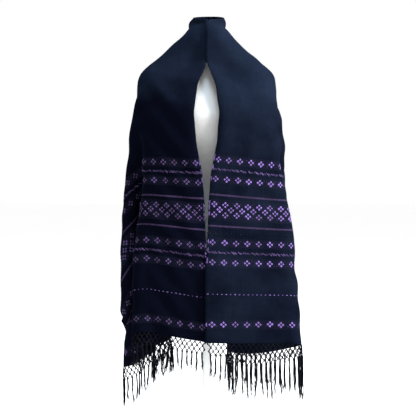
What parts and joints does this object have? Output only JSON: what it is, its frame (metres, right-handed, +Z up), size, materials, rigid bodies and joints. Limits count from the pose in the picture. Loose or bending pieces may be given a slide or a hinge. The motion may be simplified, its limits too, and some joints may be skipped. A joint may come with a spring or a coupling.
{
  "type": "rebozo shawl on a dress form",
  "caption": "Long fringed shawl draped over the shoulders of a limbless dress form on a round-footed stand, both ends hanging down the front.",
  "frame": {"origin": "the middle of the foot plate's underside, on the surface the stand stands on", "axes": "+Z up along the pole, the shawl's front faces -Y, +X is to the right as seen from the front"},
  "size_m": [0.5263, 0.32, 1.4523],
  "materials": {
    "cotton": "closely woven, soft sheen, brocaded bands",
    "fringe": "knotted warp ends",
    "jersey": "matt knitted cover",
    "enamel": "satin white"
  },
  "bodies": {
    "root": {"neck_wrap": "cotton", "back_curtain": "cotton", "front_left": "cotton", "front_right": "cotton", "fall_left": "cotton", "fall_right": "cotton", "lattice_front_left": "fringe", "lattice_front_right": "fringe", "lattice_fall_left": "fringe", "lattice_fall_right": "fringe", "tassels_front_left": "fringe", "tassels_front_right": "fringe", "tassels_fall_left": "fringe", "tassels_fall_right": "fringe", "form_torso": "jersey", "neck_cap": "enamel", "pole_socket": "enamel", "pole": "enamel", "foot_plate": "enamel"}
  },
  "joints": []
}
